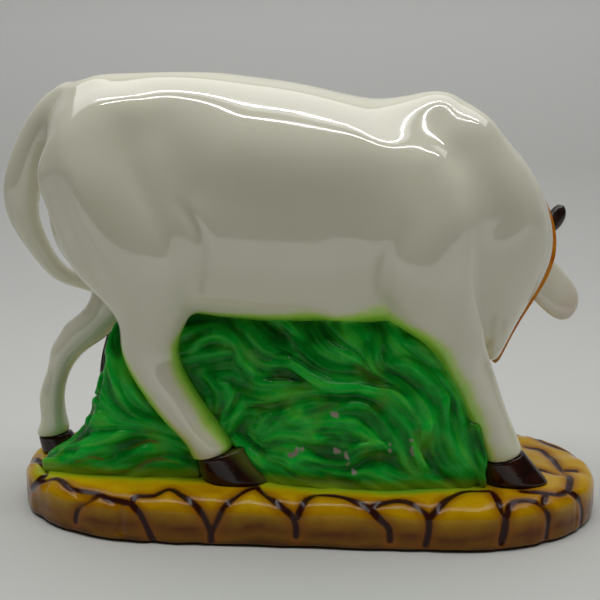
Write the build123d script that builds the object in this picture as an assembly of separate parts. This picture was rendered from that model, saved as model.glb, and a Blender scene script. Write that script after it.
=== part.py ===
from build123d import *
import math
import os

# Sizes of the plinth
plinth_length = 260.0
plinth_width = 110.0
plinth_height = 20.0
plinth_end_length = 70.0
plinth_edge_radius = 7.0
plinth_foot_chamfer = 1.5
joint_width = 1.8
joint_depth = 1.2
joint_foot = 2.5

# Sizes of the cow: it stands off the middle of the plinth, towards its right flank
body_length = 200.0
body_width = 64.0
standing_height = 171.0
cow_offset = 18.0
rump_dome_length = 12.0
chest_dome_length = 6.0

# Sizes of the neck, the head and what they carry
neck_width = 50.0
head_length = 54.0
head_width = 26.0
head_depth = 30.0
muzzle_dome_length = 6.0
horn_root_diameter = 9.6
horn_reach = 24.0
horn_rise = 16.5
horn_sweep = 3.0
ear_length = 35.5
ear_width = 21.5
ear_thickness = 5.0
band_width = 7.0
band_thickness = 2.0

# Sizes of the legs and the hooves
thigh_depth = 57.0
thigh_width = 34.0
forearm_depth = 36.0
forearm_width = 26.0
hoof_length = 29.0
hoof_width = 20.0
hoof_height = 12.0
cleft_width = 1.6
cleft_depth = 9.0

# Sizes of the tail and the grass
tail_diameter = 15.0
tuft_length = 44.0
tuft_diameter = 15.0
grass_width = 44.0
grass_height = 78.0
strand_width = 8.0

# Sizes of the round pegs that locate one casting in the next
peg_diameter = 6.0
peg_length = 9.0
peg_clearance = 0.15
peg_overlap = 4.0
cut_overrun = 60.0

# Points round a section of the trunk, the neck, the head and the grass, and turns in degrees round a dome
section_points = 12
dome_turns = (36, 62, 80)

# Joints between the flagstones along the right of the plinth, in shares of its length and width;
# the left has the same joints turned half round
joint_shares = [
    [(-0.43, -0.46), (-0.42, -0.35), (-0.40, -0.33), (-0.36, -0.42), (-0.31, -0.46), (-0.25, -0.56)],
    [(-0.31, -0.46), (-0.32, -0.50), (-0.34, -0.58)],
    [(-0.25, -0.58), (-0.25, -0.47), (-0.21, -0.40), (-0.18, -0.46), (-0.13, -0.58)],
    [(-0.13, -0.58), (-0.10, -0.45), (-0.07, -0.36), (-0.04, -0.46), (0.00, -0.58)],
    [(0.00, -0.58), (0.01, -0.47), (0.04, -0.41), (0.09, -0.47), (0.14, -0.58)],
    [(0.11, -0.52), (0.15, -0.45), (0.18, -0.49), (0.20, -0.58)],
    [(0.20, -0.58), (0.23, -0.42), (0.29, -0.33), (0.31, -0.40), (0.31, -0.56)],
    [(0.31, -0.56), (0.33, -0.44), (0.36, -0.42), (0.37, -0.56)],
    [(0.35, -0.33), (0.39, -0.34), (0.43, -0.31), (0.48, -0.36)],
    [(0.43, -0.31), (0.44, -0.18), (0.44, -0.06), (0.43, 0.05), (0.40, 0.16)],
    [(0.44, -0.10), (0.47, -0.11), (0.54, -0.18)],
    [(0.44, -0.14), (0.42, -0.12), (0.39, -0.11)],
    [(-0.42, -0.35), (-0.43, -0.28), (-0.45, -0.19), (-0.54, -0.12)],
]

# Trunk sections from rump to chest: place along the body, top, bottom, width and keel
trunk_shares = [
    (-0.470, 0.962, 0.500, 0.74, 0.00),
    (-0.420, 0.988, 0.452, 0.85, 0.00),
    (-0.315, 0.998, 0.420, 0.94, 0.00),
    (-0.210, 0.994, 0.402, 0.98, 0.00),
    (-0.110, 0.981, 0.390, 1.00, 0.00),
    (0.000, 0.962, 0.384, 1.00, 0.00),
    (0.080, 0.941, 0.388, 0.98, 0.04),
    (0.150, 0.929, 0.394, 0.94, 0.08),
    (0.220, 0.937, 0.398, 0.86, 0.12),
    (0.270, 0.938, 0.402, 0.77, 0.16),
    (0.315, 0.905, 0.420, 0.66, 0.20),
]

# Neck sections from withers to throat: place, turn in degrees, top, bottom, width and keel
neck_shares = [
    (0.250, 0.00, 0, 0.895, 0.420, 0.96, 0.20),
    (0.325, 0.02, 15, 0.900, 0.362, 1.04, 0.40),
    (0.380, 0.09, 40, 0.840, 0.302, 1.00, 0.60),
    (0.414, 0.21, 64, 0.776, 0.270, 0.92, 0.75),
    (0.433, 0.35, 84, 0.722, 0.286, 0.82, 0.80),
    (0.445, 0.49, 94, 0.664, 0.390, 0.68, 0.55),
    (0.450, 0.60, 98, 0.630, 0.440, 0.52, 0.30),
]
band_station = 4
neck_rise_share = 0.42

# Head sections from poll to muzzle: place along the head, width, rise to the brow and drop to the jaw
head_shares = [
    (0.00, 0.78, 0.40, 0.46),
    (0.12, 0.94, 0.46, 0.54),
    (0.28, 1.00, 0.47, 0.56),
    (0.48, 0.78, 0.38, 0.48),
    (0.68, 0.62, 0.30, 0.36),
    (0.85, 0.70, 0.28, 0.33),
    (0.96, 0.70, 0.25, 0.30),
]
poll_shares = (0.455, 0.42, 0.565)
head_heading = 96.0
head_pitch = 28.0
head_squareness = 2.2
jaw_keel_share = 0.30

# Horn path from its root: sideways, up and back from the poll, with its thickness
horn_shares = [
    (0.22, 0.46, 0.00, 1.00),
    (0.46, 0.58, -0.50, 1.00),
    (0.74, 0.62, -0.60, 0.98),
    (0.92, 0.78, -0.10, 0.84),
    (1.00, 1.00, 0.80, 0.56),
    (1.01, 1.09, 1.10, 0.24),
]

# Ear: place along its length, width and thickness
ear_shares = [
    (0.00, 0.50, 1.00),
    (0.16, 0.74, 0.95),
    (0.38, 1.00, 0.80),
    (0.64, 1.00, 0.66),
    (0.84, 0.88, 0.52),
    (0.95, 0.64, 0.40),
    (1.00, 0.28, 0.26),
]
ear_root_shares = (0.36, -0.18, 0.14)
ear_droop = 39.0
ear_forward = 14.0

# Leg sections from top to foot: place along, across and up the body, depth and width
hind_right_shares = [
    (-0.385, -0.20, 0.890, 0.50, 0.48),
    (-0.392, -0.26, 0.820, 0.84, 0.80),
    (-0.385, -0.27, 0.702, 0.98, 1.00),
    (-0.348, -0.27, 0.590, 1.00, 0.94),
    (-0.325, -0.25, 0.491, 0.83, 0.80),
    (-0.310, -0.23, 0.427, 0.60, 0.66),
    (-0.312, -0.22, 0.374, 0.46, 0.56),
    (-0.317, -0.20, 0.322, 0.43, 0.52),
    (-0.303, -0.20, 0.269, 0.42, 0.50),
    (-0.273, -0.20, 0.208, 0.42, 0.49),
    (-0.232, -0.20, 0.144, 0.41, 0.49),
    (-0.198, -0.20, 0.094, 0.37, 0.52),
    (-0.180, -0.20, 0.040, 0.38, 0.54),
]
hind_left_shares = [
    (-0.385, 0.20, 0.890, 0.50, 0.48),
    (-0.396, 0.26, 0.820, 0.78, 0.78),
    (-0.390, 0.27, 0.702, 0.90, 0.94),
    (-0.375, 0.27, 0.590, 0.90, 0.88),
    (-0.385, 0.26, 0.491, 0.72, 0.74),
    (-0.412, 0.25, 0.432, 0.52, 0.62),
    (-0.450, 0.25, 0.385, 0.44, 0.54),
    (-0.492, 0.25, 0.346, 0.43, 0.50),
    (-0.518, 0.25, 0.312, 0.38, 0.46),
    (-0.546, 0.25, 0.278, 0.29, 0.42),
    (-0.566, 0.25, 0.235, 0.20, 0.39),
    (-0.581, 0.24, 0.190, 0.19, 0.37),
    (-0.588, 0.23, 0.130, 0.20, 0.38),
    (-0.586, 0.23, 0.076, 0.23, 0.41),
    (-0.582, 0.23, 0.030, 0.25, 0.43),
]
fore_right_shares = [
    (0.262, -0.22, 0.770, 0.60, 0.46),
    (0.250, -0.30, 0.672, 0.95, 0.96),
    (0.248, -0.28, 0.573, 0.92, 1.00),
    (0.248, -0.26, 0.491, 0.99, 0.94),
    (0.261, -0.24, 0.442, 0.96, 0.86),
    (0.283, -0.21, 0.394, 0.89, 0.78),
    (0.311, -0.19, 0.346, 0.74, 0.70),
    (0.342, -0.17, 0.284, 0.62, 0.65),
    (0.370, -0.16, 0.210, 0.55, 0.62),
    (0.402, -0.14, 0.123, 0.54, 0.62),
    (0.423, -0.13, 0.070, 0.51, 0.66),
    (0.436, -0.13, 0.030, 0.53, 0.68),
]
fore_left_shares = [
    (0.250, 0.20, 0.740, 0.56, 0.46),
    (0.245, 0.26, 0.640, 0.90, 0.92),
    (0.240, 0.24, 0.540, 0.92, 0.94),
    (0.238, 0.22, 0.470, 0.88, 0.86),
    (0.246, 0.21, 0.405, 0.76, 0.76),
    (0.258, 0.20, 0.345, 0.66, 0.68),
    (0.272, 0.20, 0.284, 0.58, 0.63),
    (0.286, 0.20, 0.210, 0.53, 0.60),
    (0.300, 0.20, 0.123, 0.50, 0.60),
    (0.310, 0.20, 0.070, 0.51, 0.63),
    (0.318, 0.20, 0.030, 0.53, 0.65),
]

leg_rows = [
    ("hind_right", hind_right_shares, thigh_depth, thigh_width),
    ("hind_left", hind_left_shares, thigh_depth, thigh_width),
    ("fore_right", fore_right_shares, forearm_depth, forearm_width),
    ("fore_left", fore_left_shares, forearm_depth, forearm_width),
]

# Pegs of the legs, the neck and the tail: the station of a leg and where each peg runs
leg_peg_station = 2
leg_peg_share = 0.36
leg_peg_back_share = 0.16
neck_peg_shares = [(0.40, 0.02, 0.60), (0.26, 0.00, 0.60)]
tail_peg_shares = [(-0.525, 0.00, 0.905), (-0.430, 0.00, 0.870)]

# Hooves: middle along and across the body, size, and the tilt of the coronet in degrees
hoof_shares = {
    "hind_right": (-0.142, -0.20, 1.00, 17),
    "hind_left": (-0.566, 0.23, 0.70, 8),
    "fore_right": (0.448, -0.13, 0.90, 15),
    "fore_left": (0.330, 0.20, 0.90, 14),
}
coronet_length_share = 0.80
coronet_back_share = 0.18
coronet_width_share = 0.86

# Tail path from the croup, out behind the rump and round to the far thigh, with its thickness
tail_shares = [
    (-0.455, 0.00, 0.918, 0.90),
    (-0.500, 0.00, 0.922, 0.95),
    (-0.534, 0.01, 0.890, 0.92),
    (-0.567, 0.03, 0.836, 0.94),
    (-0.597, 0.06, 0.765, 1.00),
    (-0.615, 0.10, 0.685, 1.00),
    (-0.610, 0.16, 0.612, 0.80),
    (-0.578, 0.26, 0.540, 0.62),
    (-0.530, 0.37, 0.482, 0.55),
    (-0.486, 0.46, 0.440, 0.52),
    (-0.462, 0.50, 0.404, 0.52),
]

# Tuft: drift along and across the body, drop and thickness
tuft_shares = [
    (0.00, 0.00, 0.00, 0.48),
    (0.05, 0.03, 0.16, 0.74),
    (0.05, 0.05, 0.36, 0.98),
    (0.00, 0.05, 0.56, 0.94),
    (-0.08, 0.03, 0.76, 0.66),
    (-0.13, 0.01, 0.92, 0.30),
    (-0.15, 0.00, 1.00, 0.08),
]

# Grass sections along the body: place along, near and far foot across, and height
grass_shares = [
    (-0.575, -0.18, 0.04, 0.06),
    (-0.520, -0.27, 0.18, 0.14),
    (-0.470, -0.32, 0.27, 0.30),
    (-0.430, -0.34, 0.32, 0.60),
    (-0.390, -0.34, 0.36, 0.80),
    (-0.300, -0.33, 0.41, 0.92),
    (-0.150, -0.34, 0.45, 0.98),
    (-0.040, -0.42, 0.48, 0.99),
    (0.070, -0.50, 0.50, 1.00),
    (0.225, -0.48, 0.50, 0.98),
    (0.310, -0.41, 0.45, 0.78),
    (0.370, -0.30, 0.36, 0.34),
]
grass_squareness = 3.2

# Strands that stand out on both sides of the grass: places along the body and up the bank
strand_shares = [
    [(-0.04, 0.87), (0.00, 0.75), (0.05, 0.66), (0.13, 0.66)],
    [(-0.03, 0.73), (0.01, 0.61), (0.06, 0.55), (0.14, 0.58)],
    [(0.02, 0.88), (0.05, 0.78), (0.11, 0.74)],
    [(0.14, 0.88), (0.16, 0.78), (0.15, 0.70), (0.18, 0.60)],
    [(0.18, 0.63), (0.21, 0.68), (0.24, 0.64), (0.28, 0.52)],
    [(0.19, 0.81), (0.24, 0.76), (0.29, 0.64)],
    [(0.10, 0.50), (0.16, 0.54), (0.20, 0.50), (0.23, 0.36)],
    [(-0.01, 0.37), (0.03, 0.43), (0.09, 0.49)],
    [(0.08, 0.41), (0.13, 0.46), (0.16, 0.39), (0.18, 0.26)],
    [(0.25, 0.22), (0.26, 0.31), (0.29, 0.38)],
    [(0.31, 0.54), (0.29, 0.40), (0.30, 0.27), (0.32, 0.14)],
    [(0.09, 0.12), (0.12, 0.20), (0.16, 0.23), (0.20, 0.20)],
    [(0.22, 0.28), (0.24, 0.17), (0.28, 0.06)],
    [(-0.24, 0.68), (-0.21, 0.77), (-0.17, 0.79), (-0.14, 0.72)],
    [(-0.22, 0.64), (-0.18, 0.52), (-0.17, 0.44), (-0.19, 0.33)],
    [(-0.13, 0.84), (-0.10, 0.75), (-0.04, 0.67)],
    [(-0.14, 0.68), (-0.10, 0.58), (-0.05, 0.57)],
    [(-0.14, 0.50), (-0.09, 0.46), (-0.02, 0.49)],
    [(-0.15, 0.26), (-0.12, 0.37), (-0.08, 0.38), (-0.05, 0.31)],
    [(-0.07, 0.33), (-0.03, 0.38), (0.01, 0.31)],
    [(-0.40, 0.66), (-0.40, 0.54), (-0.39, 0.44), (-0.36, 0.36), (-0.29, 0.29)],
    [(-0.38, 0.62), (-0.35, 0.49), (-0.30, 0.39)],
    [(-0.42, 0.17), (-0.37, 0.25), (-0.32, 0.26), (-0.26, 0.21)],
    [(-0.40, 0.08), (-0.34, 0.14), (-0.27, 0.11)],
    [(-0.46, 0.27), (-0.43, 0.34), (-0.40, 0.28)],
    [(-0.49, 0.09), (-0.45, 0.13), (-0.39, 0.12)],
    [(-0.09, 0.17), (-0.05, 0.23), (0.01, 0.20)],
    [(-0.04, 0.08), (0.02, 0.12), (0.08, 0.08)],
    [(0.02, 0.22), (0.06, 0.31), (0.10, 0.26)],
    [(-0.15, 0.20), (-0.11, 0.14), (-0.07, 0.06)],
]
strand_tip_share = 0.18
strand_sink_share = 0.30
body_squareness = 2.3


def place(along_share, across_share, up_share):
    """A point of the cow, in shares of its length, width and height above the deck."""
    return Vector(
        along_share * body_length,
        across_share * body_width - cow_offset,
        plinth_height + up_share * standing_height,
    )


def rounded_power(value, squareness):
    """The signed power that squares up a circle into a rounded section."""
    return math.copysign(abs(value) ** (2 / squareness), value)


def girth(plane, half_width, rise, drop, keel_share, squareness):
    """A closed rounded section, widest at the plane's origin and narrowed towards its keel."""
    points = []
    for step in range(section_points):
        turn = 2 * math.pi * step / section_points
        across = rounded_power(math.sin(turn), squareness)
        up = rounded_power(math.cos(turn), squareness)
        narrowing = 1 - keel_share * max(0, -up)
        height = rise * up if up > 0 else drop * up
        points.append(plane.from_local_coords((half_width * across * narrowing, height)))
    return make_face(Spline(*points, periodic=True))


def dome_steps(dome_length):
    """Distances and scales that round off the end of a loft."""
    steps = []
    for degrees in dome_turns:
        turn = math.radians(degrees)
        steps.append((dome_length * math.sin(turn), math.cos(turn)))
    return steps


def largest(shape):
    """The main solid of a cut, without crumbs."""
    return max(shape.solids(), key=lambda solid: solid.volume)


def trim(shape, *seats):
    """A casting cut to the faces of those it seats on."""
    return largest(shape - list(seats))


def upright_section(along, top, bottom, half_width, keel_share):
    """A section of the trunk across the body's length."""
    middle = (top + bottom) / 2
    half_height = (top - bottom) / 2
    plane = Plane((along, -cow_offset, middle), x_dir=(0, 1, 0), z_dir=(1, 0, 0))
    return girth(plane, half_width, half_height, half_height, keel_share, body_squareness)


def make_trunk():
    """The barrel from the rump to the chest, with the hump over the withers."""
    rows = []
    for along_share, top_share, bottom_share, width_share, keel_share in trunk_shares:
        top = place(along_share, 0, top_share)
        bottom = place(along_share, 0, bottom_share)
        rows.append((top.X, top.Z, bottom.Z, width_share * body_width / 2, keel_share))
    rump, chest = [], []
    for reach, scale in dome_steps(rump_dome_length):
        along, top, bottom, half_width, keel_share = rows[0]
        middle, half_height = (top + bottom) / 2, scale * (top - bottom) / 2
        rump.insert(0, (along - reach, middle + half_height, middle - half_height, scale * half_width, 0))
    for reach, scale in dome_steps(chest_dome_length):
        along, top, bottom, half_width, keel_share = rows[-1]
        middle, half_height = (top + bottom) / 2, scale * (top - bottom) / 2
        chest.append((along + reach, middle + half_height, middle - half_height, scale * half_width, 0))
    return loft([upright_section(*row) for row in rump + rows + chest])


def neck_section(row, swelling=0.0):
    """A section of the neck, turned as the neck bends to the cow's left, or swollen for its band."""
    along_share, across_share, turn, top_share, bottom_share, width_share, keel_share = row
    heading = math.radians(turn)
    top = place(along_share, across_share, top_share)
    bottom = place(along_share, across_share, bottom_share)
    middle = top.Z - neck_rise_share * (top.Z - bottom.Z)
    plane = Plane(
        (top.X, top.Y, middle),
        x_dir=(-math.sin(heading), math.cos(heading), 0),
        z_dir=(math.cos(heading), math.sin(heading), 0),
    )
    half_width = width_share * neck_width / 2 + swelling
    rise = top.Z - middle + swelling
    drop = middle - bottom.Z + swelling
    return girth(plane, half_width, rise, drop, keel_share, body_squareness)


def make_neck():
    """The neck with its dewlap."""
    return loft([neck_section(row) for row in neck_shares])


def make_band(neck):
    """The band round the neck, between two planes square to the neck."""
    along_share, across_share, turn = neck_shares[band_station][:3]
    heading = math.radians(turn)
    centre = place(along_share, across_share, 0)
    square_to_neck = Plane(
        centre,
        x_dir=(-math.sin(heading), math.cos(heading), 0),
        z_dir=(math.cos(heading), math.sin(heading), 0),
    )
    stretch = neck_shares[band_station - 1:band_station + 2]
    swollen = loft([neck_section(row, band_thickness) for row in stretch])
    sheet = square_to_neck * Rectangle(body_length, 2 * standing_height)
    slab = extrude(sheet, band_width / 2, both=True)
    return (swollen & slab) - neck


def head_frame():
    """The head's own frame: along its length, with its forehead up."""
    heading, pitch = math.radians(head_heading), math.radians(head_pitch)
    forward = Vector(
        math.cos(heading) * math.cos(pitch), math.sin(heading) * math.cos(pitch), -math.sin(pitch)
    )
    left = Vector(-math.sin(heading), math.cos(heading), 0)
    return Plane(place(*poll_shares), x_dir=left, z_dir=forward)


def make_head():
    """The head from poll to muzzle."""
    frame = head_frame()
    rows = []
    for along_share, width_share, rise_share, drop_share in head_shares:
        half_width = width_share * head_width / 2
        rows.append((along_share * head_length, half_width, rise_share * head_depth, drop_share * head_depth))
    for reach, scale in dome_steps(muzzle_dome_length):
        along, half_width, rise, drop = rows[len(head_shares) - 1]
        rows.append((along + reach, scale * half_width, scale * rise, scale * drop))
    sections = []
    for along, half_width, rise, drop in rows:
        level = frame.offset(along)
        sections.append(girth(level, half_width, rise, drop, jaw_keel_share, head_squareness))
    return loft(sections)


def make_leg(leg_shares, depth, width):
    """A leg through level oval sections."""
    sections = []
    for along_share, across_share, up_share, depth_share, width_share in leg_shares:
        level = Plane(place(along_share, across_share, up_share))
        sections.append(level * Ellipse(depth_share * depth / 2, width_share * width / 2))
    return loft(sections)


def path_loft(points, diameters, side):
    """A tapering round limb along a path; side is a direction that the path never follows."""
    sections = []
    for index, point in enumerate(points):
        before = points[max(index - 1, 0)]
        after = points[min(index + 1, len(points) - 1)]
        forward = (after - before).normalized()
        level = Plane(point, x_dir=forward.cross(side), z_dir=forward)
        sections.append(level * Circle(diameters[index] / 2))
    return loft(sections)


def make_horn(side):
    """A horn that leaves the poll sideways and turns up; side is 1 for the cow's left."""
    frame = head_frame()
    points, diameters = [], []
    for out_share, up_share, back_share, thickness_share in horn_shares:
        local = (side * out_share * horn_reach, up_share * horn_rise, -back_share * horn_sweep)
        points.append(frame.from_local_coords(local))
        diameters.append(thickness_share * horn_root_diameter)
    return path_loft(points, diameters, frame.z_dir)


def make_ear(side):
    """A broad leaf-shaped ear that droops from the side of the head."""
    frame = head_frame()
    out_share, up_share, along_share = ear_root_shares
    root = frame.from_local_coords(
        (side * out_share * head_width, up_share * head_depth, along_share * head_length)
    )
    droop, turn = math.radians(ear_droop), math.radians(ear_forward)
    outward = side * frame.x_dir
    level_out = outward * math.cos(turn) + frame.z_dir * math.sin(turn)
    axis = (level_out * math.cos(droop) - Vector(0, 0, math.sin(droop))).normalized()
    broad = axis.cross(frame.z_dir).normalized()
    sections = []
    for along_share, width_share, thickness_share in ear_shares:
        level = Plane(root + axis * (along_share * ear_length), x_dir=broad, z_dir=axis)
        sections.append(
            level * Ellipse(width_share * ear_width / 2, thickness_share * ear_thickness / 2)
        )
    return loft(sections)


def coronet_plane(name):
    """The tilted plane where a leg ends and its hoof begins."""
    along_share, across_share, size_share, tilt = hoof_shares[name]
    centre = place(along_share, across_share, 0)
    back = coronet_back_share * size_share * hoof_length
    lean = math.radians(tilt)
    return Plane(
        (centre.X - back, centre.Y, plinth_height + size_share * hoof_height),
        x_dir=(math.cos(lean), 0, math.sin(lean)),
        z_dir=(-math.sin(lean), 0, math.cos(lean)),
    )


def make_hoof(name):
    """A cloven hoof that flares from the coronet to a flat sole, with a peg for the plinth."""
    along_share, across_share, size_share, tilt = hoof_shares[name]
    sole = Plane(place(along_share, across_share, 0))
    half_length, half_width = size_share * hoof_length / 2, size_share * hoof_width / 2
    height, back = size_share * hoof_height, coronet_back_share * size_share * hoof_length
    sections = []
    for level in range(4):
        rise = level / 2
        taper_length = 1 - rise * (1 - coronet_length_share)
        taper_width = 1 - rise * (1 - coronet_width_share)
        section = Pos(-rise * back, 0, rise * height) * Ellipse(
            taper_length * half_length, taper_width * half_width
        )
        sections.append(sole * section)
    hoof = split(loft(sections), bisect_by=coronet_plane(name), keep=Keep.BOTTOM)
    notch = make_face(
        Polyline(
            (half_length + cleft_width, cleft_width),
            (half_length - cleft_depth * size_share, 0),
            (half_length + cleft_width, -cleft_width),
            close=True,
        )
    )
    return hoof - extrude(sole * notch, cut_overrun)


def join(parts, insert, host, start, end, diameter):
    """A round peg on one casting, from a point inside it to a point inside its host's socket."""
    direction = end - start
    reach = direction.length
    peg = extrude(Plane(start, z_dir=direction) * Circle(diameter / 2), reach)
    bore = Circle(diameter / 2 + peg_clearance)
    socket = extrude(Plane(start, z_dir=direction) * bore, reach + peg_clearance)
    parts[host] = trim(parts[host], socket)
    parts[insert] = parts[insert] + peg


def plinth_block(inset):
    """The oval block with straight long sides and a rounded upper edge, smaller all round by an inset."""
    straight = plinth_length - 2 * plinth_end_length
    plan = Rectangle(straight, plinth_width - 2 * inset)
    for side in (-1, 1):
        end = Ellipse(plinth_end_length - inset, plinth_width / 2 - inset)
        plan = plan + Pos(side * straight / 2, 0) * end
    block = extrude(plan, plinth_height - inset)
    block = fillet(block.edges().group_by(Axis.Z)[-1], plinth_edge_radius - inset)
    return chamfer(block.edges().group_by(Axis.Z)[0], plinth_foot_chamfer)


def make_plinth():
    """The flagstone plinth: its joints are cut to one depth over the deck, the rounded edge and the side."""
    plinth = plinth_block(0)
    core = plinth_block(joint_depth)
    for shares in joint_shares:
        points = [(share[0] * plinth_length, share[1] * plinth_width) for share in shares]
        wall = extrude(trace(Spline(points), joint_width), plinth_height)
        wall = Pos(0, 0, joint_foot) * wall - core
        plinth = plinth - wall - Rot(0, 0, 180) * wall
    return plinth


def make_strand(bank, shares, side):
    """A strand of grass, half sunk in one side of the bank and thinner towards its ends."""
    points, diameters = [], []
    for along_share, up_share in shares:
        diameter = strand_width * (strand_tip_share if len(points) in (0, len(shares) - 1) else 1)
        level = Vector(along_share * body_length, 0, plinth_height + up_share * grass_height)
        faces = [point for point, normal in bank.find_intersection_points(Axis(level, (0, 1, 0)))]
        seat = max(faces, key=lambda point: side * point.Y)
        points.append(seat - Vector(0, side * strand_sink_share * diameter, 0))
        diameters.append(diameter)
    return path_loft(points, diameters, Vector(0, 1, 0))


def make_grass():
    """The bank of grass under the belly, standing on the deck."""
    sections = []
    for along_share, near_share, far_share, height_share in grass_shares:
        middle = place(along_share, 0, 0) + Vector(0, (near_share + far_share) / 2 * grass_width, 0)
        foot = Plane(middle, x_dir=(0, 1, 0), z_dir=(1, 0, 0))
        rise = height_share * grass_height
        half_width = (far_share - near_share) / 2 * grass_width
        sections.append(girth(foot, half_width, rise, rise, 0, grass_squareness))
    bank = loft(sections)
    strands = [make_strand(bank, shares, side) for shares in strand_shares for side in (-1, 1)]
    return split(bank + strands, bisect_by=Plane.XY.offset(plinth_height), keep=Keep.TOP)


def make_tail():
    """The tail, out from the croup and round behind the rump to the far thigh."""
    points, diameters = [], []
    for along_share, across_share, up_share, thickness_share in tail_shares:
        points.append(place(along_share, across_share, up_share))
        diameters.append(thickness_share * tail_diameter)
    return path_loft(points, diameters, Vector(0, 1, 0))


def make_tuft():
    """The tuft that hangs from the end of the tail."""
    root = place(*tail_shares[-1][:3])
    points, diameters = [], []
    for along_share, across_share, drop_share, thickness_share in tuft_shares:
        step = Vector(along_share * tuft_length, across_share * tuft_length, -drop_share * tuft_length)
        points.append(root + step)
        diameters.append(thickness_share * tuft_diameter)
    return path_loft(points, diameters, Vector(0, 1, 0))


# The castings, each cut to the faces of those it seats on
trunk = make_trunk()
neck = trim(make_neck(), trunk)
whole_neck = make_neck()
legs, hooves = {}, {}
for name, leg_shares, depth, width in leg_rows:
    leg = split(make_leg(leg_shares, depth, width), bisect_by=coronet_plane(name), keep=Keep.TOP)
    legs[name] = trim(leg, trunk, whole_neck)
    hooves[name] = make_hoof(name)
neck_band = trim(make_band(whole_neck), trunk, legs["fore_right"], legs["fore_left"])
head = trim(make_head(), whole_neck, neck_band)
horns = {
    "right": trim(make_horn(-1), head, whole_neck, neck_band),
    "left": trim(make_horn(1), head, whole_neck, neck_band),
}
ears = {
    "right": trim(make_ear(-1), head, whole_neck, neck_band),
    "left": trim(make_ear(1), head, whole_neck, neck_band),
}
tail = trim(make_tail(), trunk, legs["hind_left"], legs["hind_right"])
tail_tuft = trim(make_tuft(), tail, legs["hind_left"])
plinth = make_plinth()
grass = trim(make_grass(), trunk, whole_neck, *legs.values(), *hooves.values(), tail_tuft)

parts = {
    "base_plinth": plinth,
    "grass_bank": grass,
    "trunk": trunk,
    "neck": neck,
    "neck_band": neck_band,
    "head": head,
    "tail": tail,
    "tail_tuft": tail_tuft,
}
for side in ("right", "left"):
    parts["horn_" + side] = horns[side]
    parts["ear_" + side] = ears[side]
for name in legs:
    parts["leg_" + name] = legs[name]
    parts["hoof_" + name] = hooves[name]

# Pegs: hooves into the plinth, legs, neck and tail into the trunk, head into the neck
for name in hooves:
    along_share, across_share = hoof_shares[name][:2]
    sole = place(along_share, across_share, 0)
    top = sole + Vector(0, 0, peg_overlap)
    join(parts, "hoof_" + name, "base_plinth", top, sole - Vector(0, 0, peg_length), peg_diameter)
for name, leg_shares, depth, width in leg_rows:
    along_share, across_share, up_share = leg_shares[leg_peg_station][:3]
    axis = place(along_share, across_share, up_share) - Vector(leg_peg_back_share * depth, 0, 0)
    outward = Vector(0, math.copysign(1, across_share), 0)
    start = axis + outward * (leg_peg_share * width)
    join(parts, "leg_" + name, "trunk", start, axis - outward * peg_length, peg_diameter)
join(parts, "neck", "trunk", place(*neck_peg_shares[0]), place(*neck_peg_shares[1]), peg_diameter)
join(parts, "tail", "trunk", place(*tail_peg_shares[0]), place(*tail_peg_shares[1]), peg_diameter)
head_plane = head_frame()
join(parts, "head", "neck", head_plane.offset(head_length / 2).origin, head_plane.origin, peg_diameter)

os.makedirs("parts", exist_ok=True)
for name, part in parts.items():
    print(name, len(part.solids()), round(part.volume), part.is_valid)
    export_step(part, "parts/" + name + ".step")
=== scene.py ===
import math

import bpy
import numpy as np
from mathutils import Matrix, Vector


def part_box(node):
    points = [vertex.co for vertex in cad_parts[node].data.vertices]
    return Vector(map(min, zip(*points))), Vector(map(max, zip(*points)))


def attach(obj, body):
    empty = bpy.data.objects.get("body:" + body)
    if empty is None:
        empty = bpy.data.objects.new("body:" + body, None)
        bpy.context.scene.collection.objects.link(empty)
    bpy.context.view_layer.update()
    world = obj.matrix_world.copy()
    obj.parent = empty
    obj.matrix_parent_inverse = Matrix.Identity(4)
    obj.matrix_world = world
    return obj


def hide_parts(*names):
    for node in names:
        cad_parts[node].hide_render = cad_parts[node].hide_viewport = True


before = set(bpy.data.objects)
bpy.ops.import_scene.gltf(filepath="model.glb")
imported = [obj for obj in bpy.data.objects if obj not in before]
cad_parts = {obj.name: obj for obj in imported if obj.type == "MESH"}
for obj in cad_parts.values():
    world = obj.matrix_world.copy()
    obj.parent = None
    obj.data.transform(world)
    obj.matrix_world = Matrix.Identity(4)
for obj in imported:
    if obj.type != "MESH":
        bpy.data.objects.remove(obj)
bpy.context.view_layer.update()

import openvdb
from mathutils import Color, Vector
from mathutils.bvhtree import BVHTree

# Camera: the photograph's viewpoint, in metres, and its frame of 600 by 600 pixels
camera_place = Vector((0.02072, -0.35340, 0.15320))
camera_aim = Vector((-0.06462, 0.98332, -0.17004))
camera_lens_mm = 48.0
camera_sensor_mm = 36.0
frame_pixels = 600.0
middle_pixel = frame_pixels / 2
focal_pixels = camera_lens_mm / camera_sensor_mm * frame_pixels
camera_ahead = camera_aim.normalized()
camera_right = camera_ahead.cross(Vector((0, 0, 1))).normalized()
camera_up = camera_right.cross(camera_ahead)

# Sculpting works in millimetres
mm_per_metre = 1000.0

# White skin: grid cell, reach of its distances, margin, and the fillets between its pieces
skin_cell = 0.8
skin_reach = 14.4
skin_margin = 5.0
skin_core = [
    "trunk", "neck", "head", "leg_hind_right", "leg_hind_left", "leg_fore_right", "leg_fore_left",
]
skin_ears = ["ear_right", "ear_left"]
core_fillet = 3.6
tail_fillet = 1.6
tail_root_fillet = 7.2
tail_root = (160.0, 178.0)
tail_sag_pixel, tail_sag_reach = (62, 262), 30.0
tail_sag = (-1.0, 0.0, -4.5)
ear_fillet = 3.0
ear_fullness = 0.7
form_softening, fold_softening, shade_softening = 3, 1, 5

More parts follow.
